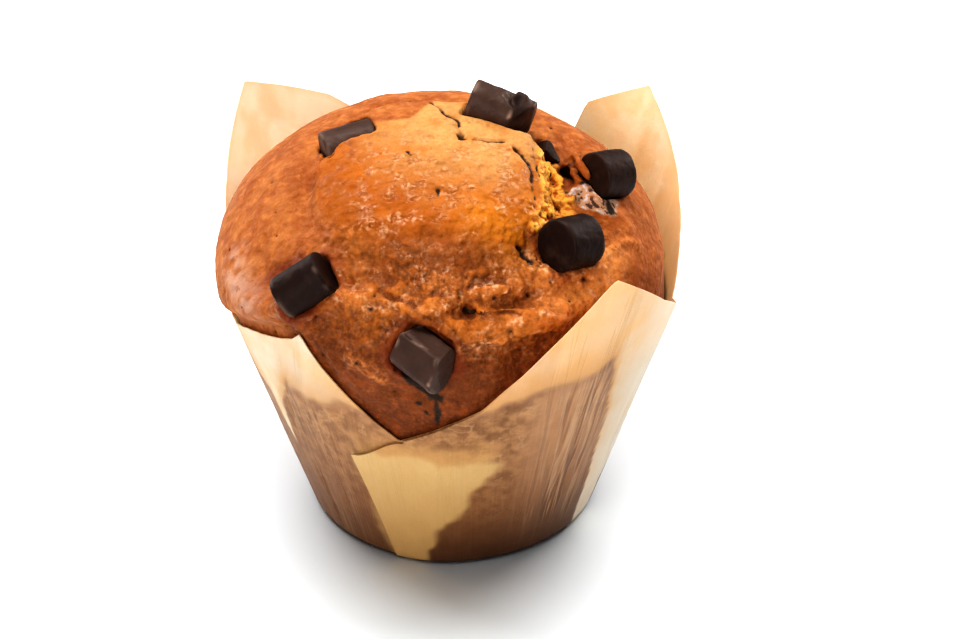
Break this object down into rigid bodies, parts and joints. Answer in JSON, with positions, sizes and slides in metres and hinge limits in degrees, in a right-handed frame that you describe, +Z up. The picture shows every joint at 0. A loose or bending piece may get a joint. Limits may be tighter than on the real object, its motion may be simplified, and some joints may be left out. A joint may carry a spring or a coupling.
{
  "type": "muffin",
  "caption": "Baked domed muffin with chocolate chunks, standing in its folded baking paper tulip case.",
  "frame": {"origin": "centre of the case's flat base, on the surface it stands on", "axes": "+Z up, the front with the sheet's overlap and its lowest valley faces -Y, +X to the right"},
  "size_m": [0.0785, 0.0813, 0.0752],
  "materials": {
    "crust": "baked golden brown cake crust, moist sheen on the dome, darker and redder towards the paper",
    "baking_paper": "unbleached greaseproof paper, matt, with butter stains where it was in touch with the cake",
    "chocolate": "dark baking chocolate, satin with soft edges"
  },
  "bodies": {
    "root": {"muffin": "crust", "paper_case": "baking_paper", "chunk_top": "chocolate", "chunk_dome_edge": "chocolate", "chunk_right": "chocolate", "chunk_front_right": "chocolate", "chunk_front_left": "chocolate", "chunk_front": "chocolate", "chunk_crumb": "chocolate", "chunk_back_left": "chocolate", "chunk_back_right": "chocolate"}
  },
  "joints": []
}
